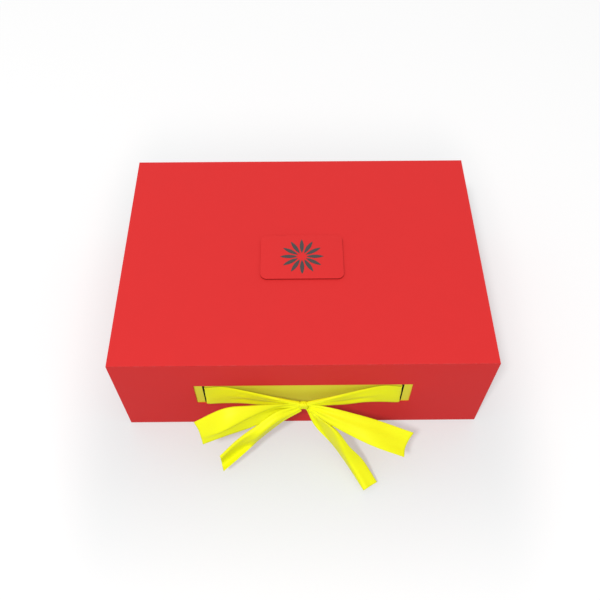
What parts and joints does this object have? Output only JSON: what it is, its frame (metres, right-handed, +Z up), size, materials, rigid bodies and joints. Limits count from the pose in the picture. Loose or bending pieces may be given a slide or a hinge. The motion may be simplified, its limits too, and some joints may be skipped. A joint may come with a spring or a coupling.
{
  "type": "collapsible gift box",
  "caption": "Flat-folding lidded box of wrapped board with a windowed front flap, a threaded ribbon tied in front and a raised rounded plate on the lid.",
  "frame": {"origin": "middle of the closed box's underside, where the base wrap meets the table", "axes": "+X to the right seen from the front flap, +Y towards the rear wall, +Z up"},
  "size_m": [0.36, 0.333, 0.122],
  "materials": {
    "red_wrap": "matt coated paper, wrapped round the board",
    "greyboard": "grey chipboard, hidden in the wrap",
    "yellow_lining": "plain matt yellow paper",
    "yellow_panel": "matt yellow paper behind the window",
    "ribbon": "satin ribbon",
    "badge": "red wrapped plate",
    "foil": "dark grey foil print",
    "adhesive": "double-sided tape",
    "magnet": "nickel plated",
    "black_binding": "black binding round the slits",
    "hinge_plastic": "soft dark red plastic hinge strip"
  },
  "bodies": {
    "base": {"base_board": "greyboard", "base_wrap": "red_wrap", "base_lining": "yellow_lining"},
    "left_wall": {"left_board": "greyboard", "left_wrap": "red_wrap", "left_lining": "yellow_lining"},
    "right_wall": {"right_board": "greyboard", "right_wrap": "red_wrap", "right_lining": "yellow_lining"},
    "front_wall": {"front_board": "greyboard", "front_wrap": "red_wrap", "front_lining": "yellow_lining", "front_magnets": "magnet", "front_corner_tapes": "adhesive"},
    "rear_wall": {"rear_board": "greyboard", "rear_wrap": "red_wrap", "rear_lining": "yellow_lining", "rear_corner_tapes": "adhesive"},
    "hinge_band": {"lid_hinge_band": "red_wrap"},
    "lid": {"lid_board": "greyboard", "lid_wrap": "red_wrap", "lid_lining": "yellow_lining", "badge_adhesive": "adhesive", "badge_plate": "badge", "badge_rosette": "foil"},
    "hinge_strip": {"flap_hinge_strip": "hinge_plastic"},
    "flap": {"flap_wrap": "red_wrap", "flap_window_board": "greyboard", "flap_window_panel": "yellow_panel", "flap_backing_board": "greyboard", "flap_lining": "yellow_lining", "flap_magnets": "magnet", "slit_bindings": "black_binding", "ribbon_band": "ribbon", "ribbon_knot": "ribbon", "ribbon_left_lead": "ribbon", "ribbon_right_lead": "ribbon", "tail_left_upper": "ribbon", "tail_left_lower": "ribbon", "tail_right_upper": "ribbon", "tail_right_lower": "ribbon"}
  },
  "joints": [
    {"name": "collapse", "type": "hinge", "parent": "base", "child": "rear_wall", "pos_m": [0, 0.13, 0], "axis": [-1, 0, 0], "range_deg": [0, 90]},
    {"name": "front_wall_fold", "type": "hinge", "parent": "base", "child": "front_wall", "pos_m": [0, -0.1247, 0.0027], "axis": [-1, 0, 0], "range_deg": [0, 90]},
    {"name": "left_wall_fold", "type": "hinge", "parent": "base", "child": "left_wall", "pos_m": [-0.18, 0, 0], "axis": [0, -1, 0], "range_deg": [0, 90]},
    {"name": "right_wall_fold", "type": "hinge", "parent": "base", "child": "right_wall", "pos_m": [0.18, 0, 0], "axis": [0, 1, 0], "range_deg": [0, 90]},
    {"name": "lid_level", "type": "hinge", "parent": "rear_wall", "child": "hinge_band", "pos_m": [0, 0.13, 0.112], "axis": [1, 0, 0], "range_deg": [0, 90]},
    {"name": "lid_open", "type": "hinge", "parent": "hinge_band", "child": "lid", "pos_m": [0, 0.13, 0.12], "axis": [-1, 0, 0], "range_deg": [0, 110]},
    {"name": "flap_level", "type": "hinge", "parent": "lid", "child": "hinge_strip", "pos_m": [0, -0.13, 0.12], "axis": [-1, 0, 0], "range_deg": [0, 90]},
    {"name": "flap_open", "type": "hinge", "parent": "hinge_strip", "child": "flap", "pos_m": [0, -0.13, 0.12], "axis": [-1, 0, 0], "range_deg": [0, 90]}
  ],
  "couplings": [
    {"joint": "front_wall_fold", "follows": "collapse", "ratio": 1},
    {"joint": "left_wall_fold", "follows": "collapse", "ratio": 1},
    {"joint": "right_wall_fold", "follows": "collapse", "ratio": 1},
    {"joint": "lid_level", "follows": "collapse", "ratio": 1},
    {"joint": "flap_level", "follows": "collapse", "ratio": 1}
  ]
}
